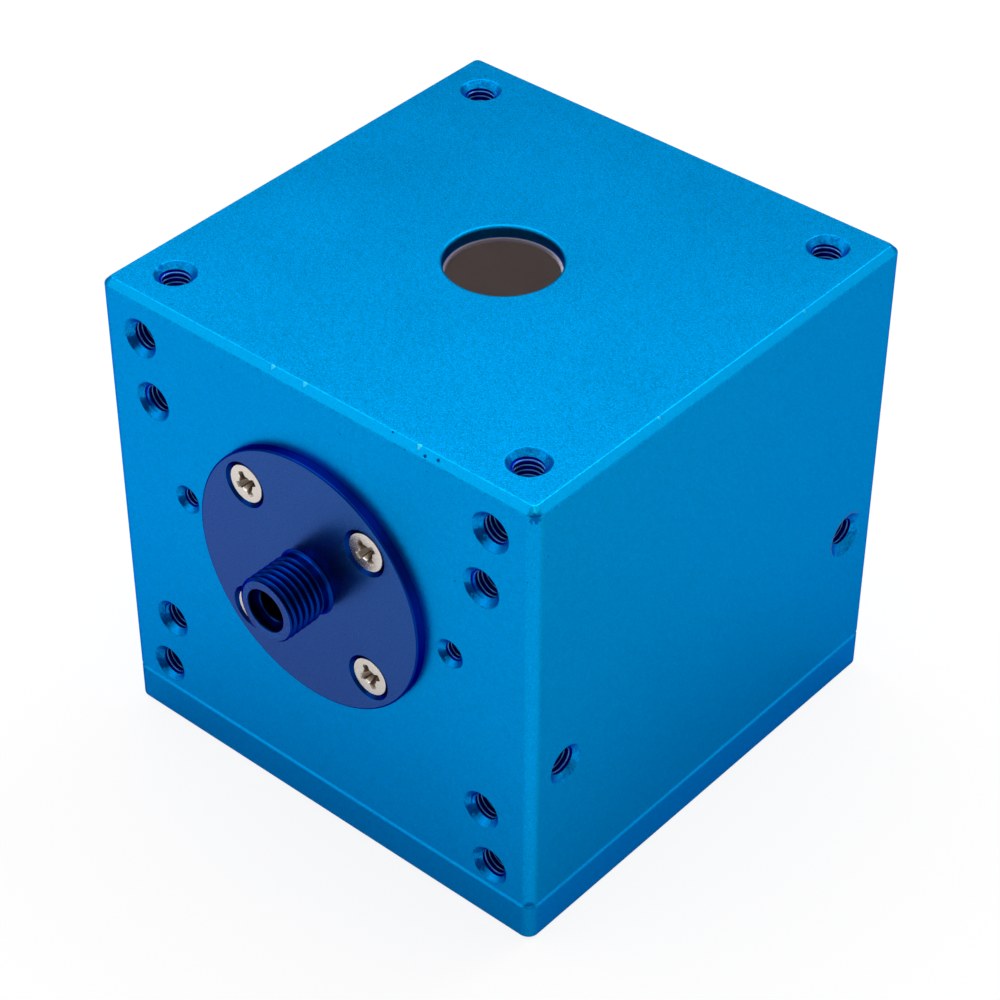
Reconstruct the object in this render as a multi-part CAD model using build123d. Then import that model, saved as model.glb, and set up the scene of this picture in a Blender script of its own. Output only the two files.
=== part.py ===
from build123d import *
import math
import os

# Integrating sphere in a cube housing. X runs along the front face, the fibre port looks to -Y,
# the sample port looks up, and the origin is the middle of the base plate's underside.

# cube
cube_w = 50.0
plate_t = 3.4
body_h = 45.9
edge_r = 1.1
top_chamfer = 0.65
seam_chamfer = 0.3
foot_chamfer = 0.3

# bore from below and the two white halves in it, with the spherical cavity between them
wall_t = 3.0
port_wall = 0.95
liner_gap = 0.3
cavity_d = 39.0
port_edge_t = 0.58

# sample port in the top face, with the white half's lip just inside it
port_d = 10.7
port_bevel = 0.2
port_lip = 0.2

# fibre adapter: flange, threaded barrel and spigot
flange_t = 1.0
flange_rim = 0.725
flange_bevel = 0.2
spigot_d = 8.0
nose_seat = 0.7
neck_d = 5.8
neck_fillet = 0.35
relief_len = 0.9
barrel_d = 6.35
barrel_out = 5.15
barrel_chamfer = 0.2
mouth_d = 4.2
mouth_depth = 0.95
mouth_bevel = 0.1
ferrule_d = 3.2
ferrule_clear = 0.2

# flange screws
flange_screw_pcd = 20.0
flange_csk_d = 4.55
flange_head_d = 3.78
flange_head_sink = 0.15
flange_screw_d = 2.0
screw_hole_skin = 0.45
flange_tip_gap = 0.35
small_recess_span = 2.1
small_recess_web = 0.52
small_recess_depth = 0.95
recess_turns = (12.0, 24.0, 40.0, 20.0)

# base screws
base_screw_inset = 6.5
base_csk_d = 6.0
base_head_d = 5.6
base_head_sink = 0.1
base_screw_d = 3.0
base_reach = 6.2
base_tip_gap = 0.8
big_recess_span = 3.3
big_recess_web = 0.75
big_recess_depth = 1.5

# tapped mounting holes, plain at the thread's outside diameter
tap_d = 3.0
tap_depth = 3.0
tap_csk_d = 3.9
wide_csk_d = 4.5
small_tap_d = 2.0
small_tap_depth = 3.5
small_csk_d = 2.9
drill_point = 118.0
csk_angle = 90.0
wide_csk_angle = 118.0
overcut = 0.01

# their places: insets from the cube's sides, feet above the seam, heads below the top
top_inset = 4.75
outer_inset = 4.75
outer_foot = 3.25
outer_head = 4.45
inner_inset = 5.75
inner_foot = 9.5
inner_head = 10.85
small_gap = 2.75
small_rise = 0.2
side_inset = 4.5
side_foot = 15.45

# baffle between the two ports
baffle_w = 9.0
baffle_t = 1.2
baffle_reach = 5.0
baffle_seat = 2.5
baffle_angle = 45.0

# derived sizes and levels
half_w = cube_w / 2
top_z = plate_t + body_h
bore_top = top_z - port_wall
bore_r = half_w - wall_t
liner_r = bore_r - liner_gap
cavity_r = cavity_d / 2
liner_port_r = port_d / 2 - port_lip
axis_z = bore_top - port_edge_t - math.sqrt(cavity_r**2 - liner_port_r**2)
front_y = -half_w
flange_d = flange_screw_pcd + flange_csk_d + 2 * flange_rim
spigot_len = half_w - (liner_r - nose_seat)
flange_spacing = flange_screw_pcd / math.sqrt(2)
inner_side = flange_spacing / 2 - flange_screw_d / 2
flange_tap_depth = half_w - math.sqrt(bore_r**2 - inner_side**2) - screw_hole_skin
flange_screw_len = flange_t - flange_head_sink + flange_tap_depth - flange_tip_gap
base_screw_len = plate_t - base_head_sink + base_reach

os.makedirs("parts", exist_ok=True)


def save(shape, name):
    export_step(shape, "parts/" + name + ".step")


def facing(point, normal):
    # frame whose local Z looks along the given outward direction
    return Plane(origin=point, z_dir=normal)


def turned(points, frame):
    # solid of revolution from radius and height pairs, turned about the frame's Z
    profile = Polyline(*points, close=True)
    face = make_face(profile)
    return frame * revolve(Plane.XZ * face, Axis.Z)


def tapped_hole(frame, bore, depth, csk, angle):
    # blind drilled hole with a drill point and a countersunk mouth, going down the frame's -Z
    r = bore / 2
    slope = math.tan(math.radians(angle / 2))
    sink = (csk / 2 - r) / slope
    point = r / math.tan(math.radians(drill_point / 2))
    rim = csk / 2 + overcut * slope
    profile = [(0, overcut), (rim, overcut), (r, -sink), (r, -depth), (0, -depth - point)]
    return turned(profile, frame)


def cross_recess(span, web, depth):
    # tapered cross pocket of a screw driver with rounded roots, opening upward at Z 0
    arms = Rectangle(span, web) + Rectangle(web, span) + Rectangle(2 * web, 2 * web, rotation=45)
    pocket = extrude(arms, amount=-depth, taper=10)
    return pocket


def countersunk_screw(shank, length, head, sink, csk, seat, span, web, depth):
    # flat head screw, Z 0 is the plane of the plate that it is sunk in, the shank goes down
    land = (csk - head) / 2
    profile = [
        (0, -sink),
        (head / 2, -sink),
        (head / 2, -land),
        (csk / 2 - seat, -seat),
    ]
    if csk / 2 - seat > shank / 2 + 0.001:
        profile.append((shank / 2, -seat))
    profile += [
        (shank / 2, -sink - length + shank / 8),
        (shank * 3 / 8, -sink - length),
        (0, -sink - length),
    ]
    body = turned(profile, Plane.XY)
    return body - Pos(0, 0, -sink) * cross_recess(span, web, depth)


def square_spots(spacing):
    h = spacing / 2
    return [(-h, -h), (h, -h), (h, h), (-h, h)]


# housing
block = Pos(0, 0, plate_t) * extrude(RectangleRounded(cube_w, cube_w, edge_r), amount=body_h)
block = chamfer(block.faces().sort_by(Axis.Z)[-1].edges(), top_chamfer)
block = chamfer(block.faces().sort_by(Axis.Z)[0].edges(), seam_chamfer)
block -= Pos(0, 0, plate_t) * extrude(Circle(bore_r), amount=bore_top - plate_t)
port_profile = [
    (0, top_z + overcut),
    (port_d / 2 + port_bevel + overcut, top_z + overcut),
    (port_d / 2, top_z - port_bevel),
    (port_d / 2, bore_top - overcut),
    (0, bore_top - overcut),
]
block -= turned(port_profile, Plane.XY)

top_frames = [facing((x, y, top_z), (0, 0, 1)) for x, y in square_spots(cube_w - 2 * top_inset)]
outer_frames = []
inner_frames = []
small_frames = []
for side in (-1, 1):
    outer_x = side * (half_w - outer_inset)
    for z in (plate_t + outer_foot, top_z - outer_head):
        outer_frames.append(facing((outer_x, front_y, z), (0, -1, 0)))
    inner_x = side * (half_w - inner_inset)
    for z in (plate_t + inner_foot, top_z - inner_head):
        inner_frames.append(facing((inner_x, front_y, z), (0, -1, 0)))
    small_x = side * (flange_d / 2 + small_gap)
    small_frames.append(facing((small_x, front_y, axis_z + small_rise), (0, -1, 0)))
side_y = half_w - side_inset
side_front = facing((half_w, -side_y, plate_t + side_foot), (1, 0, 0))
side_rear = facing((half_w, side_y, plate_t + side_foot), (1, 0, 0))

for frame in top_frames + outer_frames + inner_frames + [side_front]:
    block -= tapped_hole(frame, tap_d, tap_depth, tap_csk_d, csk_angle)
block -= tapped_hole(side_rear, tap_d, tap_depth, wide_csk_d, wide_csk_angle)
for frame in small_frames:
    block -= tapped_hole(frame, small_tap_d, small_tap_depth, small_csk_d, csk_angle)

# front wall: register for the adapter's spigot and the flange's screw holes
front_axis = facing((0, front_y, axis_z), (0, -1, 0))
block -= front_axis * extrude(Circle(spigot_d / 2), amount=-spigot_len)
flange_screw_frames = []
for x, z in square_spots(flange_spacing):
    frame = facing((x, front_y, axis_z + z), (0, -1, 0))
    flange_screw_frames.append(frame)
    block -= frame * extrude(Circle(flange_screw_d / 2), amount=-flange_tap_depth)

# underside: screw holes for the base plate
for x, y in square_spots(cube_w - 2 * base_screw_inset):
    block -= Pos(x, y, plate_t) * extrude(Circle(base_screw_d / 2), amount=base_reach + base_tip_gap)
save(block, "housing")

# base plate
plate = extrude(RectangleRounded(cube_w, cube_w, edge_r), amount=plate_t)
plate = chamfer(plate.faces().sort_by(Axis.Z)[-1].edges(), seam_chamfer)
plate = chamfer(plate.faces().sort_by(Axis.Z)[0].edges(), foot_chamfer)
base_screw_frames = []
for x, y in square_spots(cube_w - 2 * base_screw_inset):
    frame = facing((x, y, 0), (0, 0, -1))
    base_screw_frames.append(frame)
    plate -= frame * extrude(Circle(base_screw_d / 2), amount=-plate_t)
    sink = (base_csk_d - base_screw_d) / 2
    cone = [(0, 0), (base_csk_d / 2, 0), (base_screw_d / 2, -sink), (0, -sink)]
    plate -= turned(cone, frame)
save(plate, "base_plate")

# white halves round the cavity, parted on its equator
cavity = Pos(0, 0, axis_z) * Sphere(cavity_r)
fibre_hole = front_axis * extrude(Circle(ferrule_d / 2 + ferrule_clear), amount=-half_w)
nose_room = front_axis * extrude(Circle(spigot_d / 2 + liner_gap), amount=-(spigot_len + liner_gap))

lower_half = Pos(0, 0, plate_t) * extrude(Circle(liner_r), amount=axis_z - plate_t)
lower_half = lower_half - cavity - fibre_hole - nose_room
save(lower_half, "lower_diffuser_half")

upper_half = Pos(0, 0, axis_z) * extrude(Circle(liner_r), amount=bore_top - axis_z)
upper_half = upper_half - cavity - fibre_hole - nose_room
upper_half -= Pos(0, 0, axis_z) * extrude(Circle(liner_port_r), amount=body_h)

# baffle: a tongue that stands radially on the cavity's wall halfway between the two ports
baffle_len = baffle_reach + baffle_seat
tongue = RectangleRounded(baffle_w, 2 * baffle_len, baffle_w / 2 - 0.01)
tongue &= Pos(0, baffle_len / 2) * Rectangle(baffle_w, baffle_len)
tongue = Pos(0, 0, -baffle_t / 2) * extrude(tongue, amount=baffle_t)
a = math.radians(baffle_angle)
outward = Vector(0, -math.cos(a), math.sin(a))
across = Vector(0, math.sin(a), math.cos(a))
root = Vector(0, 0, axis_z) + outward * (cavity_r + baffle_seat)
baffle = Plane(origin=root, x_dir=(1, 0, 0), z_dir=across) * tongue
upper_half -= baffle
save(upper_half, "upper_diffuser_half")
save(baffle, "baffle")

# fibre adapter, turned in one piece: heights run outward from the housing's front face
end = flange_t + barrel_out
thread_start = flange_t + relief_len
step = (barrel_d - neck_d) / 2
adapter_profile = [
    (mouth_d / 2, end - mouth_depth),
    (mouth_d / 2, end - mouth_bevel),
    (mouth_d / 2 + mouth_bevel, end),
    (barrel_d / 2 - barrel_chamfer, end),
    (barrel_d / 2, end - barrel_chamfer),
    (barrel_d / 2, thread_start + step),
    (neck_d / 2, thread_start),
    (neck_d / 2, flange_t),
    (flange_d / 2 - flange_bevel, flange_t),
    (flange_d / 2, flange_t - flange_bevel),
    (flange_d / 2, 0),
    (spigot_d / 2, 0),
    (spigot_d / 2, -spigot_len),
    (ferrule_d / 2, -spigot_len),
    (ferrule_d / 2, end - mouth_depth),
]
adapter = turned(adapter_profile, Plane.XY)
root_edges = [
    e
    for e in adapter.edges().filter_by(GeomType.CIRCLE)
    if abs(e.radius - neck_d / 2) < 1e-4 and abs(e.center().Z - flange_t) < 1e-4
]
adapter = fillet(root_edges, neck_fillet)
for x, y in square_spots(flange_spacing):
    cone = [(0, flange_t), (flange_csk_d / 2, flange_t), (flange_csk_d / 2 - flange_t, 0), (0, 0)]
    adapter -= Pos(x, y, 0) * turned(cone, Plane.XY)
adapter = front_axis * adapter
save(adapter, "fibre_adapter")

# screws
flange_screws = []
for frame, turn in zip(flange_screw_frames, recess_turns):
    screw = countersunk_screw(
        flange_screw_d,
        flange_screw_len,
        flange_head_d,
        flange_head_sink,
        flange_csk_d,
        flange_t,
        small_recess_span,
        small_recess_web,
        small_recess_depth,
    )
    flange_screws.append(frame * (Pos(0, 0, flange_t) * (Rot(0, 0, turn) * screw)))
save(Compound(children=flange_screws), "flange_screws")

base_screws = []
for frame, turn in zip(base_screw_frames, recess_turns):
    screw = countersunk_screw(
        base_screw_d,
        base_screw_len,
        base_head_d,
        base_head_sink,
        base_csk_d,
        (base_csk_d - base_screw_d) / 2,
        big_recess_span,
        big_recess_web,
        big_recess_depth,
    )
    base_screws.append(frame * (Rot(0, 0, turn) * screw))
save(Compound(children=base_screws), "base_screws")
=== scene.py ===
import math
import bpy
import bmesh
from mathutils import Matrix, Vector


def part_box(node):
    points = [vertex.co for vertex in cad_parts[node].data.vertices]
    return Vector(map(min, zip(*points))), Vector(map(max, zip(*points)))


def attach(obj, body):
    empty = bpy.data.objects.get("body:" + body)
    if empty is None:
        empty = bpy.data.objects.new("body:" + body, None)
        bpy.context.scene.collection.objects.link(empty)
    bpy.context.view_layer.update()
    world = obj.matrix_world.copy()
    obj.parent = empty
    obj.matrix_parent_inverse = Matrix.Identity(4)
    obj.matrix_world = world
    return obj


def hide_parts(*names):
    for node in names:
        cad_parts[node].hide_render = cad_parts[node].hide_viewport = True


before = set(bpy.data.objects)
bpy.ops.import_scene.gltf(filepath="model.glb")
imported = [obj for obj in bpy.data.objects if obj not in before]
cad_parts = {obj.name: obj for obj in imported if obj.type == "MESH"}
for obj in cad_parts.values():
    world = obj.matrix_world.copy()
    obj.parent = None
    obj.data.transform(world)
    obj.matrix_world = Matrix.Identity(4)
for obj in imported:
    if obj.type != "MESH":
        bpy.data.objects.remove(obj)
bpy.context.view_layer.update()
mm = 0.001
housingLow, housingHigh = [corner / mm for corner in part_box("housing")]
adapterLow, adapterHigh = [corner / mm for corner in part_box("fibre_adapter")]
half, top, seam = housingHigh.x, housingHigh.z, housingLow.z
axis = (adapterLow.z + adapterHigh.z) / 2
seamRise = 0.7  # the photo's seam is this much higher than the solids' one
joint = seam + seamRise
mergeGap = 0.0008 * mm
overcut = 0.05  # how far a cutting tool stands out of the face that it cuts
leadSlope = 8  # degrees, slope at which a rounded rim runs out into the flat face
print("frame loaded, nodes:", len(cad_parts))


# hand tools

def clearSelection():
    if bpy.context.object and bpy.context.object.mode != "OBJECT":
        bpy.ops.object.mode_set(mode="OBJECT")
    bpy.ops.object.select_all(action="DESELECT")


def only(piece):
    clearSelection()
    piece.select_set(True)
    bpy.context.view_layer.objects.active = piece


def pick(piece, kind, test):  # edit mode: selects edges or faces whose corners, in mm, pass the test
    if bpy.context.object != piece or piece.mode != "EDIT":
        only(piece)
        bpy.ops.object.mode_set(mode="EDIT")
    bpy.ops.mesh.select_mode(type=kind)
    bpy.ops.mesh.select_all(action="DESELECT")
    mesh = bmesh.from_edit_mesh(piece.data)
    for part in mesh.edges if kind == "EDGE" else mesh.faces:
        if test([v.co / mm for v in part.verts]):
            part.select_set(True)
    bmesh.update_edit_mesh(piece.data)


def flatAt(points, level, within=0.01):
    return all(abs(q.z - level) < within for q in points)


def upright(points, least=1.0):  # an edge that climbs more than this
    return abs(points[0].z - points[1].z) > least


def doneEditing():
    bpy.ops.object.mode_set(mode="OBJECT")


def place(piece, spot=(0, 0, 0), turn=(0, 0, 0)):  # spot in mm, turn in degrees, both put in the mesh
    only(piece)
    piece.location = [v * mm for v in spot]
    piece.rotation_euler = [math.radians(v) for v in turn]
    bpy.ops.object.transform_apply(location=True, rotation=True, scale=True)
    return piece


def twin(piece, name):  # a copy with its own mesh
    only(piece)
    bpy.ops.object.duplicate(linked=False)
    made = bpy.context.object
    made.name = name
    return made


def merge(pieces):
    clearSelection()
    for piece in pieces:
        piece.select_set(True)
    bpy.context.view_layer.objects.active = pieces[0]
    bpy.ops.object.join()
    return bpy.context.object


def dress(piece, finish):
    piece.data.materials.clear()
    piece.data.materials.append(finish)
    return piece


def carve(piece, tool, operation="DIFFERENCE"):  # the tool is thrown away, its finish stays on the cut
    only(piece)
    modifier = piece.modifiers.new("carve", "BOOLEAN")
    modifier.object = tool
    modifier.operation = operation
    modifier.solver = "EXACT"
    modifier.material_mode = "TRANSFER"
    bpy.ops.object.modifier_apply(modifier="carve")
    bpy.data.objects.remove(tool)
    return piece


def spun(name, profile, steps=64):  # turns a profile of (radius, height) in mm round Z, as on a lathe
    clearSelection()
    bpy.ops.mesh.primitive_plane_add(size=mm)
    piece = bpy.context.object
    piece.name = name
    bpy.ops.object.mode_set(mode="EDIT")
    bpy.ops.mesh.select_mode(type="VERT")
    bpy.ops.mesh.select_all(action="SELECT")
    bpy.ops.mesh.merge(type="CENTER")
    lastR, lastH = profile[0]
    bpy.ops.transform.translate(value=(lastR * mm, 0, lastH * mm))
    for r, h in profile[1:]:
        step = ((r - lastR) * mm, 0, (h - lastH) * mm)
        bpy.ops.mesh.extrude_vertices_move(TRANSFORM_OT_translate={"value": step})
        lastR, lastH = r, h
    bpy.ops.mesh.select_all(action="SELECT")
    bpy.ops.mesh.spin(steps=steps, angle=2 * math.pi, center=(0, 0, 0), axis=(0, 0, 1))
    bpy.ops.mesh.select_all(action="SELECT")
    bpy.ops.mesh.remove_doubles(threshold=mergeGap)
    bpy.ops.mesh.normals_make_consistent(inside=False)
    doneEditing()
    return piece


def arc(centre, radius, start, end, steps):  # points of a circle in a profile, angles in degrees
    points = []
    for number in range(steps + 1):
        angle = math.radians(start + (end - start) * number / steps)
        points.append((centre[0] + radius * math.cos(angle), centre[1] + radius * math.sin(angle)))
    return points


def threadRod(name, coreR, crestR, pitch, turns, form, steps=32):  # V thread round Z, its ends closed
    clearSelection()
    bpy.ops.mesh.primitive_plane_add(size=mm)
    piece = bpy.context.object
    piece.name = name
    bpy.ops.object.mode_set(mode="EDIT")
    bpy.ops.mesh.select_mode(type="VERT")
    bpy.ops.mesh.merge(type="CENTER")
    bpy.ops.transform.translate(value=(coreR * mm, 0, 0))
    lastR, lastH = coreR, 0
    rise = crestR - coreR
    for share, height in form:  # shares of the depth and of the pitch
        r, h = coreR + rise * share, pitch * height
        step = ((r - lastR) * mm, 0, (h - lastH) * mm)
        bpy.ops.mesh.extrude_vertices_move(TRANSFORM_OT_translate={"value": step})
        lastR, lastH = r, h
    doneEditing()
    screw = piece.modifiers.new("thread", "SCREW")
    screw.axis = "Z"
    screw.angle = 2 * math.pi
    screw.screw_offset = pitch * mm
    screw.iterations = turns
    screw.steps = screw.render_steps = steps
    bpy.ops.object.modifier_apply(modifier="thread")
    bpy.ops.object.mode_set(mode="EDIT")
    bpy.ops.mesh.select_all(action="SELECT")
    bpy.ops.mesh.remove_doubles(threshold=mergeGap)
    bpy.ops.mesh.select_mode(type="EDGE")
    bpy.ops.mesh.select_all(action="DESELECT")
    bpy.ops.mesh.select_non_manifold(
        extend=False, use_multi_face=False, use_non_contiguous=False, use_verts=False,
    )
    bpy.ops.mesh.fill_holes(sides=0)
    bpy.ops.mesh.select_mode(type="FACE")
    bpy.ops.mesh.select_all(action="DESELECT")
    bpy.ops.mesh.select_face_by_sides(number=steps, type="GREATER")
    bpy.ops.mesh.poke()
    bpy.ops.mesh.select_all(action="SELECT")
    bpy.ops.mesh.normals_make_consistent(inside=False)
    doneEditing()
    return piece


def smooth(piece, angle=35):  # flat faces stay flat, and edges under the angle shade round
    only(piece)
    bpy.ops.object.shade_smooth_by_angle(angle=math.radians(angle))
    weighted = piece.modifiers.new("weighted", "WEIGHTED_NORMAL")
    weighted.keep_sharp = True
    weighted.weight = 100
    bpy.ops.object.modifier_apply(modifier="weighted")


def roundedBlock(name, width, low, high, look):  # square block with rounded corners and cut rims
    clearSelection()
    bpy.ops.mesh.primitive_cube_add(size=1, location=(0, 0, (low + high) / 2 * mm))
    piece = bpy.context.object
    piece.name = name
    piece.scale = (width * mm, width * mm, (high - low) * mm)
    bpy.ops.object.transform_apply(location=True, rotation=True, scale=True)
    pick(piece, "EDGE", upright)
    bpy.ops.mesh.bevel(offset=look["cornerR"] * mm, segments=8, affect="EDGES")
    for level, cut, inward in ((high, look["topCut"], -1), (low, look["lowCut"], 1)):
        pick(piece, "EDGE", lambda p: flatAt(p, level))
        bpy.ops.mesh.bevel(offset=cut * mm, segments=1, affect="EDGES")
        inner = level + inward * cut
        pick(piece, "EDGE", lambda p: flatAt(p, level) or flatAt(p, inner))
        bpy.ops.mesh.bevel(offset=look["soft"] * mm, segments=2, affect="EDGES")
    doneEditing()
    return piece


# camera and light

camera = {
    "lens": 105.266,
    "sensor": 36,
    "nearest": 0.01,
    "shift": (0.0604, 0.0480),
    "spot": (138.608, -161.453, 194.228),
    "forward": (-0.515758, 0.568238, -0.641171),
    "down": (0.421687, -0.483084, -0.767339),
}
bpy.ops.object.camera_add()
eye = bpy.context.object
eye.data.lens = camera["lens"]
eye.data.sensor_width = camera["sensor"]
eye.data.shift_x, eye.data.shift_y = camera["shift"]
eye.data.clip_start = camera["nearest"]
forward, down = Vector(camera["forward"]).normalized(), Vector(camera["down"]).normalized()
right = down.cross(forward).normalized()
eye.matrix_world = Matrix((
    (right.x, -down.x, -forward.x, camera["spot"][0] * mm),
    (right.y, -down.y, -forward.y, camera["spot"][1] * mm),
    (right.z, -down.z, -forward.z, camera["spot"][2] * mm),
    (0, 0, 0, 1),
))
bpy.context.scene.camera = eye
bpy.context.scene.view_settings.view_transform = "Standard"

studio = {
    "world": 0.3,
    "aim": (0, 0, 0.025),
    "soft boxes": (
        # name, place in m, size in m, power in W
        ("skyBox", (-0.30, 0.15, 1.20), 1.2, 8.7),
        ("leftBox", (-0.90, 0.10, 0.90), 0.9, 2.1),
        ("frontBox", (-0.65, -0.80, 0.72), 0.8, 1.8),
        ("sideBox", (0.80, 0.70, 0.65), 0.7, 1.2),
        ("backBox", (0.13, 0.68, 0.95), 0.4, 3.3),
        ("fillBox", (0.48, -0.36, 0.94), 0.5, 0.9),
    ),
}


class Wire:  # a shader socket that takes plain arithmetic
    def __init__(self, shader, socket):
        self.shader = shader
        self.socket = socket

    def math(self, operation, *parts):
        return self.shader.node("ShaderNodeMath", {"operation": operation}, list(parts))

    def __add__(self, other):
        return self.math("ADD", self, other)

    def __radd__(self, other):
        return self.math("ADD", other, self)

    def __sub__(self, other):
        return self.math("SUBTRACT", self, other)

    def __rsub__(self, other):
        return self.math("SUBTRACT", other, self)

    def __mul__(self, other):
        return self.math("MULTIPLY", self, other)

    def __rmul__(self, other):
        return self.math("MULTIPLY", other, self)

    def __pow__(self, other):
        return self.math("POWER", self, other)

    def __abs__(self):
        return self.math("ABSOLUTE", self)

    def least(self, other):
        return self.math("MINIMUM", self, other)

    def most(self, other):
        return self.math("MAXIMUM", self, other)


class Finish:  # a material or world and the few ways in which its nodes are made
    def __init__(self, owner):
        self.owner = owner
        owner.use_nodes = True
        self.tree = owner.node_tree

    def node(self, kind, settings=None, values=None, output=0):
        made = self.tree.nodes.new(kind)
        for key, value in (settings or {}).items():
            setattr(made, key, value)
        pairs = values.items() if isinstance(values, dict) else enumerate(values or [])
        for key, value in pairs:
            self.feed(made.inputs[key], value)
        return Wire(self, made.outputs[output])

    def feed(self, socket, value):
        if isinstance(value, Wire):
            self.tree.links.new(value.socket, socket)
        elif isinstance(value, (tuple, list)) and socket.type == "RGBA" and len(value) == 3:
            socket.default_value = (*value, 1)
        else:
            socket.default_value = value

    def mix(self, factor, a, b, blend="MIX"):  # inputs 6 and 7 and output 2 are the colours
        settings = {"data_type": "RGBA", "blend_type": blend}
        return self.node("ShaderNodeMix", settings, {0: factor, 6: a, 7: b}, 2)

    def position(self):  # object coordinates in mm
        raw = self.node("ShaderNodeTexCoord", output="Object")
        return self.node("ShaderNodeVectorMath", {"operation": "SCALE"}, {0: raw, "Scale": 1000.0})

    def split(self, vector):
        made = self.node("ShaderNodeSeparateXYZ", values=[vector])
        return [Wire(self, output) for output in made.socket.node.outputs]

    def grey(self, value):
        return self.node("ShaderNodeCombineColor", values=[value, value, value])

    def stretch(self, vector, factors):
        return self.node("ShaderNodeVectorMath", {"operation": "MULTIPLY"}, [vector, factors])

    def noise(self, vector, scale, detail=2.0, roughness=0.5):
        values = {"Vector": vector, "Scale": scale, "Detail": detail, "Roughness": roughness}
        return self.node("ShaderNodeTexNoise", values=values)

    def step(self, value, low, high, start=0.0, end=1.0):  # soft step between two levels
        settings = {"interpolation_type": "SMOOTHSTEP"}
        return self.node("ShaderNodeMapRange", settings, [value, low, high, start, end])

    def nudge(self, vector, amount, way=(1.0, -0.7, 0.4)):  # pushes the place along, for torn outlines
        parts = [way, self.triple(amount), vector]
        return self.node("ShaderNodeVectorMath", {"operation": "MULTIPLY_ADD"}, parts)

    def triple(self, value):
        return self.node("ShaderNodeCombineXYZ", values=[value, value, value])

    def near(self, vector, spot, radius, soft):  # 1 inside a small ball, 0 outside
        distance = self.node("ShaderNodeVectorMath", {"operation": "DISTANCE"}, [vector, spot], "Value")
        return self.step(distance, radius, radius + soft, 1.0, 0.0)


def newMaterial(name, settings):  # settings are constants for the shader's own sockets
    finish = Finish(bpy.data.materials.new(name))
    shader = finish.tree.nodes["Principled BSDF"]
    for key, value in settings.items():
        finish.feed(shader.inputs[key], value)
    return finish, shader


def surface(finish, shader, colour, roughness, height, depth):  # depth of the bump in mm
    finish.feed(shader.inputs["Base Color"], colour)
    finish.feed(shader.inputs["Roughness"], roughness)
    bump = finish.node("ShaderNodeBump", values={"Height": height, "Distance": depth * mm})
    finish.feed(shader.inputs["Normal"], bump)
    return finish.owner


world = Finish(bpy.data.worlds.new("studioWorld"))
bpy.context.scene.world = world.owner
world.tree.nodes["Background"].inputs["Color"].default_value = (1, 1, 1, 1)
world.tree.nodes["Background"].inputs["Strength"].default_value = studio["world"]
for name, spot, size, power in studio["soft boxes"]:
    bpy.ops.object.light_add(type="AREA", location=spot)
    lamp = bpy.context.object
    lamp.name = name
    lamp.data.shape = "SQUARE"
    lamp.data.size = size
    lamp.data.energy = power
    lamp.rotation_euler = (Vector(studio["aim"]) - Vector(spot)).to_track_quat("-Z", "Y").to_euler()

floorLook = {"size": 6.0, "colour": (0.74, 0.74, 0.75), "shown": 0.86, "mirrored": 0.2}
clearSelection()
bpy.ops.mesh.primitive_plane_add(size=floorLook["size"])
floor = bpy.context.object
floor.name = "floor"
finish, shader = newMaterial("paleFloor", {"Roughness": 0.9, "Specular IOR Level": 0.0})
ray = finish.tree.nodes.new("ShaderNodeLightPath")
watched = Wire(finish, ray.outputs["Is Camera Ray"])
finish.feed(shader.inputs["Base Color"], finish.mix(watched, floorLook["colour"], (1.0, 1.0, 1.0)))
seen = watched * floorLook["shown"]
indirect = Wire(finish, ray.outputs["Is Glossy Ray"]) + Wire(finish, ray.outputs["Is Transmission Ray"])
mirrored = indirect * floorLook["mirrored"]
glow = finish.node("ShaderNodeEmission", values={"Color": (1, 1, 1), "Strength": 1.0})
blend = finish.node("ShaderNodeMixShader", values=[seen + mirrored, Wire(finish, shader.outputs[0]), glow])
finish.feed(finish.tree.nodes["Material Output"].inputs["Surface"], blend)
floor.data.materials.append(finish.owner)
print("camera, lamps and floor set")


# finishes

cube = {
    "cornerR": 1.1, "topCut": 0.65, "lowCut": 0.2, "soft": 0.06,
    "boreR": 22.0, "portWall": 1.2, "portR": 5.35, "portBevel": 0.32,
    "spigotR": 4.0, "spigotDeep": 4.0, "screwRing": 10.0, "screwR": 1.0, "screwDeep": 3.2,
}
blueLook = {
    "base": (0.0, 0.345, 0.80),
    # worn: the edge band's colour, wear and a painted highlight on the chamfer
    "worn": (0.0, 0.43, 0.93),
    "sink": (0.0, 0.28, 0.72),  # countersinks, darker as painted shade
    # plate: the base plate's blue, darker as painted shade near the floor
    "plate": (0.0, 0.28, 0.67),
    "crest": (0.06, 0.24, 0.55),  # thread crests
    # groove: the thread's deep grooves and the bore, darkened as painted shade
    "grooveShade": (0.0, 0.016, 0.50),
    "wall": (0.0, 0.15, 0.44),  # wall of the port, darker as painted shade
    "tint": (0.02, 0.30, 0.80),
    "roughness": 0.36,
    "grain": 0.020,  # depth of the blasted grain on the top in mm
    "contrast": 1.1,  # of the grain's light and dark
    "smoother": 0.5,  # share of that grain on the sides
    "lowShadeTop": 26.0,  # painted shade: the sides get darker below this height
    "lowShade": 0.89,
}


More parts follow.
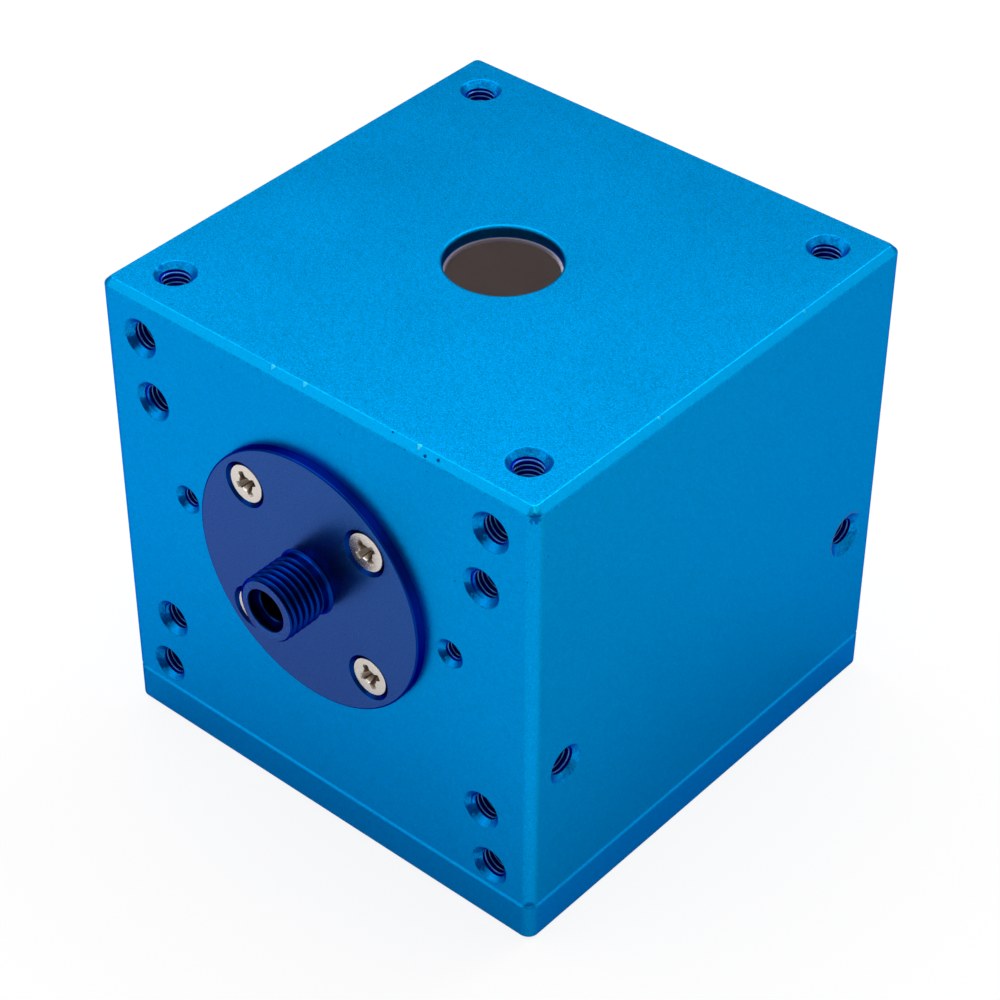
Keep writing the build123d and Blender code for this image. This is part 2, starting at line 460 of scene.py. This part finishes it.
def blueAnodised(name, base, marks, rough=False):
    finish, shader = newMaterial(name, {"Metallic": 1.0, "Specular Tint": blueLook["tint"]})
    smoother, contrast = blueLook["smoother"], blueLook["contrast"]
    p = finish.position()
    x, y, z = finish.split(p)
    grain = finish.noise(p, 5.5, 2.0, 0.6)
    fine = finish.noise(p, 11.0, 1.0, 0.5)
    cloud = finish.noise(p, 0.11, 2.0, 0.5)
    blasted = 1.0 if rough else smoother + (1 - smoother) * finish.step(z, top - 1.2, top - 0.5)
    # painted shade: the surface darkens towards the bottom
    lowShaded = finish.step(z, 0.0, blueLook["lowShadeTop"], blueLook["lowShade"], 1.0)
    shade = 0.97 + (contrast * (grain - 0.5) + contrast * (fine - 0.5)) * blasted + 0.06 * cloud
    colour = finish.mix(1.0, base, finish.grey(shade * lowShaded), "MULTIPLY")
    colour, height = marks(finish, p, (x, y, z), colour, grain + 0.4 * fine)
    rough = blueLook["roughness"] - 0.04 + 0.08 * cloud
    return surface(finish, shader, colour, rough, height * blasted, blueLook["grain"])


wear = {
    "band": 0.66,  # how far the worn edge band reaches, along the top and down the side together
    "chips": (-4.3, -0.6, 12.2),  # X of the light chips on the front edge of the top
    "sideChips": (-8.8, 11.1),  # Y of those on the right edge
    "pits": ((9.3, -24.4, 49.1), (13.1, -24.8, 48.85), (14.4, -24.65, 49.0)),
    "specks": (
        (-10.1, -25.0, 46.7), (3.8, -25.0, 46.5), (13.5, -25.0, 47.6), (16.4, -25.0, 37.6),
        (24.2, -25.0, 41.8), (25.0, -23.4, 44.0), (25.0, -24.6, 40.7), (25.0, 22.0, 46.5),
        (24.9, -25.0, 4.7), (11.1, -25.0, 48.6),
    ),
    "corner": ((24.5, -24.5, 49.2), (24.75, -24.75, 48.45)),  # painted highlight and a dark spot at the near corner
    "foot": (24.75, -24.75, joint + 0.25),  # painted shade where that corner meets the plate
    "rim": (20.5, 18.85),  # Y and Z of the side hole with the bare rim
    "nickAt": 0.68,  # nicks and a painted shadow line follow both edges of the cut, this far from the corner of top and side
    "rightShade": (1.0, 0.93, 0.82),  # painted shade: the right face is a little greener and darker
    "nickAndShade": (0.0, 0.24, 0.62), "chip": (0.04, 0.58, 0.98), "pit": (0.0, 0.06, 0.30),
    "speck": (0.01, 0.08, 0.30), "cornerHighlight": (0.0, 0.62, 1.0), "cornerDark": (0.0, 0.08, 0.36),
    "bare": (0.20, 0.17, 0.24), "seamHighlight": (0.0, 0.31, 0.80),
    "recessShade": (0.0, 0.03, 0.22), "sinkHighlight": (0.0, 0.34, 0.95),
    "portRim": ((0.0, 0.20, 0.50), (0.0, 0.34, 0.74)),
}


def wornAndLitEdge(finish, p, closeness, mottle, colour):  # a lighter, ragged band along a cut edge: wear, and a painted highlight over the whole top chamfer
    ragged = closeness + 1.0 * (mottle - 0.5)
    band = finish.step(ragged, wear["band"] + 0.08, wear["band"] + 0.18, 1.0, 0.0)
    return finish.mix(band * (1.3 * mottle).least(1.0), colour, blueLook["worn"])


def bodyMarks(finish, p, xyz, colour, height):
    x, y, z = xyz
    fromFront, fromSide, fromTop = half - abs(y), half - abs(x), top - z
    mottle = finish.noise(p, 4.5, 3.0, 0.7)
    # painted shade: the right face tinted greener and darker than the front
    onRight = finish.step(x, half - 0.12, half - 0.02)
    colour = finish.mix(onRight, colour, finish.mix(1.0, colour, wear["rightShade"], "MULTIPLY"))
    inward = fromFront.least(fromSide)
    # wear and a painted highlight along the top edge and its chamfer
    colour = wornAndLitEdge(finish, p, fromTop + inward, mottle, colour)
    lowNicks = finish.step(abs(fromTop - wear["nickAt"]), 0.03, 0.15, 1.0, 0.0)
    highNicks = finish.step(abs(inward - wear["nickAt"]), 0.03, 0.15, 1.0, 0.0)
    highNicks = highNicks * finish.step(fromTop, 0.06, 0.10, 1.0, 0.0)
    # dark nicks, which also paint a shadow line along the chamfer's edges
    nicksAndShade = 0.6 * finish.step(mottle, 0.50, 0.58) * lowNicks.most(highNicks)
    colour = finish.mix(nicksAndShade, colour, wear["nickAndShade"])
    chipped = [(x, spot, y + half, 0.30) for spot in wear["chips"]]
    chipped += [(y, spot, half - x, 0.22) for spot in wear["sideChips"]]
    for along, spot, inside, size in chipped:
        reach = abs(along - spot) + 0.9 * fromTop + 2.0 * (inside - 0.6).most(0.0) + 0.3 * (mottle - 0.5)
        chip = finish.step(reach, size, size + 0.06, 1.0, 0.0) * finish.step(inside, 1.2, 1.3, 1.0, 0.0)
        colour = finish.mix(chip, colour, wear["chip"])
        height = height + 1.5 * chip
    for spot in wear["pits"]:
        pit = finish.near(p, spot, 0.10, 0.08)
        colour = finish.mix(pit, colour, wear["pit"])
        height = height - 4.0 * pit
    for spot in wear["specks"]:
        colour = finish.mix(0.8 * finish.near(p, spot, 0.05, 0.06), colour, wear["speck"])
    # painted highlight on the near corner's facet, and a dark spot beside it
    light, dark = wear["corner"]
    torn = finish.nudge(p, 2.2 * (mottle - 0.5))
    colour = finish.mix(0.9 * finish.near(torn, light, 0.34, 0.10), colour, wear["cornerHighlight"])
    colour = finish.mix(0.8 * finish.near(torn, dark, 0.46, 0.20), colour, wear["cornerDark"])
    # painted shade at the seam below the near corner, in the pits' colour
    colour = finish.mix(0.7 * finish.near(p, wear["foot"], 0.34, 0.2), colour, wear["pit"])
    rimY, rimZ = y - wear["rim"][0], z - wear["rim"][1]
    radius = (rimY * rimY + rimZ * rimZ) ** 0.5
    ring = finish.step(radius, 2.32, 2.6, 1.0, 0.0) * finish.step(x, half - 0.7, half - 0.6)
    patches = finish.noise(p, 1.1, 2.0, 0.6) - 0.5
    bare = finish.step(rimZ * 0.83 - rimY * 0.55 + 1.6 * patches, 0.1, 0.9)
    colour = finish.mix(ring * bare * 0.7, colour, wear["bare"])
    return colour, height


def plateMarks(finish, p, xyz, colour, height):  # a painted highlight along the plate's chamfer at the seam
    mottle = finish.noise(p, 4.0, 3.0, 0.7)
    highlighted = finish.step(xyz[2], joint - 0.33, joint - 0.27) * finish.step(mottle, 0.35, 0.6, 0.4, 1.0)
    return finish.mix(highlighted, colour, wear["seamHighlight"]), height


def holeMarks(finish, p, xyz, colour, height):  # soot spots, painted shade on the countersinks' right-facing side, a painted highlight where they face up, and a bore below them darkened as painted shade
    x, y, z = xyz
    depth = (half - abs(y)).least(half - abs(x)).least(top - z)
    soot = finish.step(finish.noise(p, 1.3, 3.0, 0.6), 0.50, 0.66)
    facing = finish.split(finish.node("ShaderNodeNewGeometry", output="Normal"))
    front = finish.step(y, -half + 0.8, -half + 0.9, 1.0, 0.0)
    ragged = 0.5 * (finish.noise(p, 3.0, 3.0, 0.7) - 0.5)
    toRight = finish.step(facing[0] + ragged, 0.18, 0.36)
    # painted shade on the front countersinks where they face right and up
    shadedSide = front * toRight * finish.step(facing[2] + ragged, 0.10, 0.30)
    # painted highlight on the front countersinks where they face up
    highlighted = front * finish.step(facing[2] + ragged, 0.52, 0.66)
    colour = finish.mix(0.6 * soot, colour, wear["pit"])
    colour = finish.mix(0.85 * shadedSide, colour, wear["recessShade"])
    colour = finish.mix(0.9 * highlighted, colour, wear["sinkHighlight"])
    # painted shade: the bore darker below 0.6 mm deep
    return finish.mix(finish.step(depth, 0.6, 0.75), colour, blueLook["grooveShade"]), 1.4 * height


def noMarks(finish, p, xyz, colour, height):
    return colour, height


def portMarks(finish, p, xyz, colour, height):  # the wall is darkened as painted shade, its rounded rim is the top's blue
    ragged = xyz[2] + 0.35 * (finish.noise(p, 4.5, 3.0, 0.7) - 0.5)
    rim = finish.step(ragged, top - cube["portBevel"] + 0.04, top - cube["portBevel"] + 0.16)
    spotted = finish.mix(finish.noise(p, 5.0, 2.0, 0.7), *wear["portRim"])
    return finish.mix(rim, colour, spotted), 2.0 * height


blue = blueAnodised("blueBody", blueLook["base"], bodyMarks)
bluePlateShaded = blueAnodised("bluePlateShaded", blueLook["plate"], plateMarks)
blueSinkShaded = blueAnodised("blueCountersinkShaded", blueLook["sink"], holeMarks, True)
blueFlank = blueAnodised("blueThreadFlank", blueLook["crest"], noMarks)
blueGrooveShade = blueAnodised("blueThreadGrooveShade", blueLook["grooveShade"], noMarks)
bluePort = blueAnodised("bluePortWallShaded", blueLook["wall"], portMarks)

violetLook = {  # grain is the bump's depth in mm, contrast its light and dark
    "tint": (0.05, 0.15, 0.5),
    "face": {"colour": (0.0, 0.086, 0.34), "rough": 0.28, "sheen": 0.40, "grain": 0.012, "contrast": 1.3},
    "side": {"colour": (0.0, 0.034, 0.27), "rough": 0.25, "sheen": 0.0, "grain": 0.004, "contrast": 0.5},
    # sink: countersinks and the barrel's bore, darker as painted shade
    "sink": {"colour": (0.0, 0.025, 0.18), "rough": 0.25, "sheen": 0.0, "grain": 0.004, "contrast": 0.5},
}


def violetAnodised(name, look):
    finish, shader = newMaterial(name, {
        "Metallic": 1.0, "Specular Tint": violetLook["tint"],
        "Coat Weight": look["sheen"], "Coat Roughness": 0.25,
    })
    p = finish.position()
    grain = finish.noise(p, 6.5, 2.0, 0.6)
    fine = finish.noise(p, 11.0, 1.0, 0.5)
    cloud = finish.noise(p, 0.5, 2.0, 0.5)
    shade = 0.97 + look["contrast"] * (grain + fine - 1.0) + 0.06 * cloud
    colour = finish.mix(1.0, look["colour"], finish.grey(shade), "MULTIPLY")
    return surface(finish, shader, colour, look["rough"] - 0.03 + 0.06 * grain, grain, look["grain"])


violetFace = violetAnodised("violetFaced", violetLook["face"])
violetSide = violetAnodised("violetTurned", violetLook["side"])
violetSinkShaded = violetAnodised("violetCountersinkShaded", violetLook["sink"])

steelLook = {
    # recess: the colour of the painted shade inside the cross recess
    "base": (0.86, 0.79, 0.72), "grey": (0.74, 0.67, 0.60), "recess": (0.24, 0.18, 0.13),
    "roughness": 0.26, "scratch": 0.003,  # depth of the scratches in mm
}


def nickel(name, depthOf):  # depthOf gives the depth in mm under the head's face, for the painted shade in the recess
    finish, shader = newMaterial(name, {"Metallic": 1.0})
    p = finish.position()
    depth = depthOf(*finish.split(p))
    grain = finish.noise(p, 6.0, 3.0, 0.6)
    scratch = finish.noise(finish.stretch(p, (1.0, 1.0, 9.0)), 2.2, 2.0, 0.6)
    colour = finish.mix(finish.step(scratch, 0.35, 0.75), steelLook["base"], steelLook["grey"])
    # painted shade: the recess darker with depth
    recessShade = finish.step(depth + 0.12 * (grain - 0.5), 0.03, 0.22)
    colour = finish.mix(recessShade * 0.85, colour, steelLook["recess"])
    rough = steelLook["roughness"] - 0.06 + 0.12 * grain + 0.1 * recessShade
    return surface(finish, shader, colour, rough, scratch + grain * 0.4, steelLook["scratch"])


whiteLook = {
    "colour": (0.957, 0.872, 0.858), "lipShade": (0.30, 0.26, 0.32), "lipLight": (0.82, 0.72, 0.78),
    "lipRise": 18.6,  # the port's lip starts this high over the cavity's middle
    "grain": 0.006,
}


def whiteDiffuser(name):  # its rim under the port gets a painted highlight on the right and painted shade on the left
    finish, shader = newMaterial(name, {"Specular IOR Level": 0.1})
    p = finish.position()
    grain = finish.noise(p, 2.5, 3.0, 0.6)
    x, y, z = finish.split(p)
    radius = (x * x + y * y) ** 0.5
    lipLow = axis + whiteLook["lipRise"]
    lip = finish.step(z, lipLow, lipLow + 0.2) * finish.step(radius, 5.6, 5.8, 1.0, 0.0)
    # painted light and shade: the lip lit on the right, shaded on the left
    lit = finish.step(x + 3.0 * (grain - 0.5), 0.5, 5.0)
    lipLightAndShade = finish.mix(lit, whiteLook["lipShade"], whiteLook["lipLight"])
    colour = finish.mix(grain, whiteLook["colour"], tuple(v * 0.95 for v in whiteLook["colour"]))
    colour = finish.mix(lip, colour, lipLightAndShade)
    return surface(finish, shader, colour, 0.85 + 0.1 * grain, grain, whiteLook["grain"])


white = whiteDiffuser("whiteDiffuser")
print("finishes made")


# housing

# thread profiles as shares of the depth and of the pitch
nutForm = ((0, 0.08), (0.16, 0.22), (0.38, 0.31), (1, 0.40), (1, 0.74), (0, 0.92), (0, 1))
boltForm = (  # V grooves between round crests
    (0, 0.02), (0.10, 0.041), (0.804, 0.291), (0.908, 0.345), (0.975, 0.418), (1, 0.5),
    (0.975, 0.582), (0.908, 0.655), (0.804, 0.709), (0.10, 0.959), (0, 0.98), (0, 1),
)
tapped = {
    "boreR": 1.25, "threadR": 1.52, "pitch": 0.5, "turns": 7, "depth": 3.1, "rimR": 1.95, "round": 0.15,
}
smallTapped = {
    "boreR": 0.8, "threadR": 1.0, "pitch": 0.4, "turns": 9, "depth": 3.5, "rimR": 1.45, "round": 0.1,
}
worn = dict(tapped, rimR=2.25, sink=0.62)
drillPoint = 118  # degrees
threadBite = 0.02  # how far a thread's core stands into the bore
threadTurn = 0.9  # radians from one hole's thread to the next one's
holeAt = {  # sideways, then above the solids' seam and below the top where a hole has these
    "right": (20.5, 15.45), "top": (20.25, 20.25), "outer": (20.25, 3.25, 4.45),
    "inner": (19.25, 9.5, 10.85), "small": (15.75, 0.2),  # small ones: above the fibre port's axis
}
around = cube["screwRing"] / math.sqrt(2)
plateScrewAt = 18.5
frontTurn, rightTurn, downTurn = (90, 0, 0), (0, 90, 0), (180, 0, 0)
y, rise = holeAt["right"]
holes = [((half, -y, seam + rise), rightTurn, tapped), ((half, y, seam + rise), rightTurn, worn)]
for side in (-1, 1):
    x, y = holeAt["top"]
    holes.append(((side * x, -y, top), (0, 0, 0), tapped))
    holes.append(((side * x, y, top), (0, 0, 0), tapped))
    for x, rise, drop in (holeAt["outer"], holeAt["inner"]):
        holes.append(((side * x, -half, seam + rise), frontTurn, tapped))
        holes.append(((side * x, -half, top - drop), frontTurn, tapped))
    x, rise = holeAt["small"]
    holes.append(((side * x, -half, axis + rise), frontTurn, smallTapped))


def drill(name, look):  # blind hole with a drill point and a softly rounded countersink, up along Z
    ro = look["round"]
    centreR = look["rimR"] + ro * 0.41  # there the round meets the 45 degree cone
    rim = arc((centreR, -ro), ro, 90 + leadSlope, 135, 4)
    start = rim[0]
    rise = overcut - start[1]
    out = (start[0] + rise / math.tan(math.radians(leadSlope)), overcut)
    sink = look.get("sink", look["rimR"] - look["boreR"])
    point = look["boreR"] / math.tan(math.radians(drillPoint / 2))
    profile = [
        (0, overcut), out, *rim, (look["boreR"], -sink),
        (look["boreR"], -look["depth"]), (0, -look["depth"] - point),
    ]
    return spun(name, profile, 48)


housing = dress(roundedBlock("housingBody", 2 * half, joint, top, cube), blue)
boreTop = top - cube["portWall"]
bore = spun("bore", [(0, seam - 1), (cube["boreR"], seam - 1), (cube["boreR"], boreTop), (0, boreTop)], 128)
carve(housing, bore)
edge = cube["portBevel"]
portRim = arc((cube["portR"] + edge, top - edge), edge, 90 + leadSlope, 180, 6)
portOut = (portRim[0][0] + 0.5, portRim[0][1] + 0.5 * math.tan(math.radians(leadSlope)))
portLow = boreTop - 0.4
port = spun("port", [
    (0, top + 1), (portOut[0], top + 1), portOut, *portRim, (cube["portR"], portLow), (0, portLow),
], 128)
carve(housing, dress(port, bluePort))
drills = []
for number, (spot, turn, look) in enumerate(holes):
    drills.append(place(drill("drill%d" % number, look), spot, turn))
for sx in (-1, 1):
    for sz in (-1, 1):
        pilotR, pilotLow = cube["screwR"], -cube["screwDeep"]
        pilot = spun("pilot", [(0, 0.1), (pilotR, 0.1), (pilotR, pilotLow), (0, pilotLow)], 32)
        drills.append(place(pilot, (sx * around, -half, axis + sz * around), frontTurn))
        deep = spun("deep", [(0, 0.1), (1.5, 0.1), (1.5, -7.0), (0, -7.9)], 32)
        drills.append(place(deep, (sx * plateScrewAt, sz * plateScrewAt, joint), downTurn))
spigotR, spigotLow = cube["spigotR"], -cube["spigotDeep"]
register = spun("register", [(0, 0.1), (spigotR, 0.1), (spigotR, spigotLow), (0, spigotLow)], 64)
drills.append(place(register, (0, -half, axis), frontTurn))
carve(housing, dress(merge(drills), blueSinkShaded))
rodMasters = []
for name, look in (("bigRod", tapped), ("smallRod", smallTapped)):
    coreR = look["boreR"] - threadBite
    rod = threadRod(name, coreR, look["threadR"], look["pitch"], look["turns"], nutForm)
    dress(rod, blueFlank)
    rod.data.materials.append(blueGrooveShade)
    rise = look["threadR"] - look["boreR"]
    # the deep faces of the thread get the groove's painted shade
    pick(rod, "FACE", lambda p: max(math.hypot(q.x, q.y) for q in p) > look["boreR"] + 0.5 * rise)
    rod.active_material_index = 1
    bpy.ops.object.material_slot_assign()
    doneEditing()
    rodMasters.append(rod)
bigRod, smallRod = rodMasters
rods = []
for number, (spot, turn, look) in enumerate(holes):
    rod = twin(smallRod if look is smallTapped else bigRod, "rod%d" % number)
    twist = Matrix.Rotation(number * threadTurn, 4, "Z")
    rod.data.transform(twist @ Matrix.Translation((0, 0, -(look["depth"] - 0.1) * mm)))
    rods.append(place(rod, spot, turn))
bpy.data.objects.remove(bigRod)
bpy.data.objects.remove(smallRod)
carve(housing, merge(rods))
smooth(housing)
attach(housing, "root")
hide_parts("housing")
print("housing done, faces:", len(housing.data.polygons))


# base plate

plateLook = {"cornerR": 1.1, "topCut": 0.27, "lowCut": 0.3, "soft": 0.05, "screwR": 1.5, "sinkR": 3.0}
plate = roundedBlock("basePlate", 2 * half, 0.0, joint, plateLook)
sinks = []
for sx in (-1, 1):
    for sy in (-1, 1):
        sink = plateLook["sinkR"] - plateLook["screwR"]
        through = -joint - 0.2
        tool = spun("sink", [
            (0, overcut), (plateLook["sinkR"] + overcut, overcut), (plateLook["screwR"], -sink),
            (plateLook["screwR"], through), (0, through),
        ], 48)
        sinks.append(place(tool, (sx * plateScrewAt, sy * plateScrewAt, 0), downTurn))
carve(dress(plate, bluePlateShaded), merge(sinks))
smooth(plate)
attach(plate, "root")
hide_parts("base_plate")
print("base plate done")


# fibre adapter, turned with its axis up along Z from the front face, then laid over

adapterLook = {
    "flangeR": adapterHigh.x, "flange": 1.0, "flangeBevel": 0.18, "spigotR": 4.0, "spigot": 4.0,
    "neckR": 2.9, "foot": 0.4, "relief": 0.9,
    "coreR": 2.74, "crestR": 3.175, "pitch": 0.70556, "turns": 8, "threadAt": 0.876,
    "mouthR": 2.1, "mouth": 0.95, "mouthBevel": 0.1, "boreR": 1.6, "cskR": 2.275, "cskRound": 0.06,
}
a = adapterLook
end = -half - adapterLow.y
start = a["flange"] + a["relief"]
rod = threadRod("barrelThread", a["coreR"], a["crestR"], a["pitch"], a["turns"], boltForm, 64)
rod.data.transform(Matrix.Translation((0, 0, a["threadAt"] * mm)))
envelope = spun("envelope", [
    (0, start), (a["neckR"], start), (a["crestR"] + 0.05, start + a["crestR"] + 0.05 - a["neckR"]),
    (a["crestR"] + 0.05, end - 0.25), (a["crestR"] - 0.2, end), (0, end),
], 96)
carve(rod, envelope, "INTERSECT")
e = a["flangeBevel"]
foot = arc((a["neckR"] + a["foot"], a["flange"] + a["foot"]), a["foot"], 180, 270, 8)
flangeRim = arc((a["flangeR"] - e, a["flange"] - e), e, 90, 0, 4)
flange = spun("fibreAdapter", [
    (0, start + 0.4), (a["neckR"], start + 0.4), *foot, *flangeRim,
    (a["flangeR"], 0.05), (a["flangeR"] - 0.05, 0), (a["spigotR"], 0),
    (a["spigotR"], -a["spigot"] + 0.2), (a["spigotR"] - 0.2, -a["spigot"]), (0, -a["spigot"]),
], 192)
carve(dress(flange, violetSide), dress(rod, violetSide), "UNION")
mouth = arc((a["mouthR"] + a["mouthBevel"], end - a["mouthBevel"]), a["mouthBevel"], 100, 180, 3)
barrelBore = spun("barrelBore", [
    (0, end + 1), (mouth[0][0] + 0.3, end + 1), (mouth[0][0] + 0.3, end + 0.06), *mouth,
    (a["mouthR"], end - a["mouth"]), (a["boreR"] + 0.1, end - a["mouth"]),
    (a["boreR"], end - a["mouth"] - 0.1), (a["boreR"], -a["spigot"] - 1), (0, -a["spigot"] - 1),
], 64)
carve(flange, dress(barrelBore, violetSinkShaded))
cones = []
face, ro = a["flange"], a["cskRound"]
for sx in (-1, 1):
    for sz in (-1, 1):
        rim = arc((a["cskR"] + 0.04, face - ro), ro, 90 + leadSlope, 135, 3)
        cone = spun("cone", [
            (0, face + 0.04), (rim[0][0] + 0.25, face + 0.04), *rim,
            (a["cskR"] - face - 0.3, -0.3), (0, -0.3),
        ], 64)
        cones.append(place(cone, (sx * around, sz * around, 0)))
carve(flange, dress(merge(cones), violetSinkShaded))
flange.data.materials.append(violetFace)
pick(flange, "FACE", lambda p: flatAt(p, face, 0.002) or flatAt(p, end, 0.002))
flange.active_material_index = len(flange.data.materials) - 1
bpy.ops.object.material_slot_assign()
doneEditing()
place(flange, (0, -half, axis), frontTurn)
smooth(flange, 40)
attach(flange, "root")
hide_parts("fibre_adapter")
print("fibre adapter done, faces:", len(flange.data.polygons))


# countersunk screws with a cross recess

flangeScrew = {
    "headR": 1.89, "sink": 0.15, "shankR": 1.0, "length": 3.9, "seat": 1.0, "cskR": 2.275,
    "span": 2.65, "web": 0.70, "depth": 0.95, "middle": 0.85,
    "metal": nickel("screwNickelFront", lambda x, y, z: y + (half + adapterLook["flange"] - 0.15)),
}
baseScrew = {
    "headR": 2.8, "sink": 0.1, "shankR": 1.5, "length": 9.5, "seat": 1.5, "cskR": 3.0,
    "span": 3.3, "web": 0.75, "depth": 1.5, "middle": 0.85,
    "metal": nickel("screwNickelUnder", lambda x, y, z: z - 0.1),
}
screwForm = {  # shares of a cross's own sizes, and roundings in mm
    "tipLong": 0.42, "tipWide": 0.55, "armRound": 0.16, "middleTip": 0.45, "middleDeep": 1.15,
    "headRound": 0.07, "tipLength": 0.3, "tipR": 0.7,
}
screwPlaces = ((-1, -1, 12), (1, -1, 24), (1, 1, 40), (-1, 1, 30))  # sides, and the cross's turn in degrees


def crossTool(look):  # tapered cross with a wider middle, down along Z from 0
    arms = []
    for turn in (0, 90):
        clearSelection()
        bpy.ops.mesh.primitive_cube_add(size=1, location=(0, 0, -look["depth"] / 2 * mm + 0.05 * mm))
        arm = bpy.context.object
        arm.scale = (look["span"] * mm, look["web"] * mm, (look["depth"] + 0.1) * mm)
        bpy.ops.object.transform_apply(location=True, rotation=True, scale=True)
        pick(arm, "FACE", lambda p: all(q.z < -look["depth"] / 2 for q in p))
        tip = (screwForm["tipLong"], screwForm["tipWide"], 1)
        bpy.ops.transform.resize(value=tip, center_override=(0, 0, 0))
        pick(arm, "EDGE", lambda p: upright(p, look["depth"] / 2))
        bpy.ops.mesh.bevel(offset=look["web"] * screwForm["armRound"] * mm, segments=2, affect="EDGES")
        doneEditing()
        arms.append(place(arm, turn=(0, 0, turn)))
    middle = spun("middle", [
        (0, 0.1), (look["middle"], 0.1), (look["middle"] * screwForm["middleTip"], -look["depth"]),
        (0, -look["depth"] * screwForm["middleDeep"]),
    ], 24)
    carve(arms[0], arms[1], "UNION")
    return carve(arms[0], middle, "UNION")


def countersunkScrew(name, look):
    low = look["cskR"] - look["seat"]
    land = look["cskR"] - look["headR"]
    ro = screwForm["headRound"]
    rim = arc((look["headR"] - ro, -look["sink"] - ro), ro, 90, 0, 4)
    screw = spun(name, [
        (0, -look["sink"]), *rim, (look["headR"], -land - 0.02), (low + 0.01, -look["seat"] + 0.01),
        (look["shankR"], -look["seat"] - 0.02), (look["shankR"], -look["length"] + screwForm["tipLength"]),
        (look["shankR"] * screwForm["tipR"], -look["length"]), (0, -look["length"]),
    ], 64)
    tool = crossTool(look)
    tool.data.transform(Matrix.Translation((0, 0, -look["sink"] * mm)))
    carve(screw, tool)
    return dress(screw, look["metal"])


def setScrew(master, name, spot, lay, spin, node):
    screw = twin(master, name)
    screw.data.transform(Matrix.Rotation(math.radians(spin), 4, "Z"))
    place(screw, spot, lay)
    smooth(screw, 40)
    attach(screw, "root")
    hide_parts(node)


smallScrew = countersunkScrew("smallScrew", flangeScrew)
bigScrew = countersunkScrew("bigScrew", baseScrew)
for number, (sx, sz, spin) in enumerate(screwPlaces):
    spot = (sx * around, -half - adapterLook["flange"], axis + sz * around)
    setScrew(smallScrew, "flangeScrew%d" % (number + 1), spot, frontTurn, spin, "flange_screws")
    spot = (sx * plateScrewAt, sz * plateScrewAt, 0)
    setScrew(bigScrew, "baseScrew%d" % (number + 1), spot, downTurn, spin * 2, "base_screws")
bpy.data.objects.remove(smallScrew)
bpy.data.objects.remove(bigScrew)
print("screws done")


# white diffuser halves and the baffle between the ports

linerLook = {
    "outerR": 21.7, "cavityR": 19.5, "portR": 5.15, "lip": 0.05,
    "fibreR": 1.8, "noseR": 4.3, "noseLength": 4.3,
}
d = linerLook
portAngle = math.degrees(math.asin(d["portR"] / d["cavityR"]))
upperWall = arc((0, axis), d["cavityR"], 0, 90 - portAngle, 40)
lowerWall = arc((0, axis), d["cavityR"], 0, -90, 40)
lowerWall[-1] = (0, axis - d["cavityR"])
lip = arc((d["portR"] + d["lip"], boreTop - d["lip"]), d["lip"], 180, 90, 3)
outerR = d["outerR"]
upper = spun("upperDiffuserHalf", [*upperWall, *lip, (outerR, boreTop), (outerR, axis), upperWall[0]], 128)
lower = spun("lowerDiffuserHalf", [*lowerWall[::-1], (outerR, axis), (outerR, joint), (0, joint)], 128)
for piece, node in ((upper, "upper_diffuser_half"), (lower, "lower_diffuser_half")):
    fibreHole = spun("fibreHole", [(0, 0), (d["fibreR"], 0), (d["fibreR"], -25), (0, -25)], 32)
    place(fibreHole, (0, -half, axis), frontTurn)
    noseLow = -d["noseLength"]
    nose = spun("nose", [(0, 1), (d["noseR"], 1), (d["noseR"], noseLow), (0, noseLow)], 64)
    place(nose, (0, -half, axis), frontTurn)
    carve(piece, nose)
    carve(piece, fibreHole)

baffleLook = {"width": 9.0, "thick": 1.2, "length": 7.5, "seat": 2.5, "edge": 0.1, "angle": 45}
clearSelection()
bpy.ops.mesh.primitive_cube_add(size=1, location=(0, baffleLook["length"] / 2 * mm, 0))
baffle = bpy.context.object
baffle.name = "baffle"
baffle.scale = (baffleLook["width"] * mm, baffleLook["length"] * mm, baffleLook["thick"] * mm)
bpy.ops.object.transform_apply(location=True, rotation=True, scale=True)
pick(baffle, "EDGE", lambda p: upright(p) and p[0].y > 7)  # the two at its free end
bpy.ops.mesh.bevel(offset=(baffleLook["width"] / 2 - 0.01) * mm, segments=12, affect="EDGES")
doneEditing()
tilt = math.radians(baffleLook["angle"])
outward = Vector((0, -math.cos(tilt), math.sin(tilt)))
across = Vector((0, math.sin(tilt), math.cos(tilt)))
root = Vector((0, 0, axis)) + outward * (d["cavityR"] + baffleLook["seat"])
turn = Matrix((Vector((1, 0, 0)), across.cross(Vector((1, 0, 0))), across)).transposed().to_4x4()
baffle.data.transform(Matrix.Translation(root * mm) @ turn)
slot = twin(baffle, "slot")
carve(upper, slot)
bevel = baffle.modifiers.new("edge", "BEVEL")
bevel.width = baffleLook["edge"] * mm
bevel.segments = 2
bevel.limit_method = "ANGLE"
only(baffle)
bpy.ops.object.modifier_apply(modifier="edge")
for piece, node in ((upper, "upper_diffuser_half"), (lower, "lower_diffuser_half"), (baffle, "baffle")):
    smooth(dress(piece, white), 30)
    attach(piece, "root")
    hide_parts(node)
print("diffuser halves and baffle done")
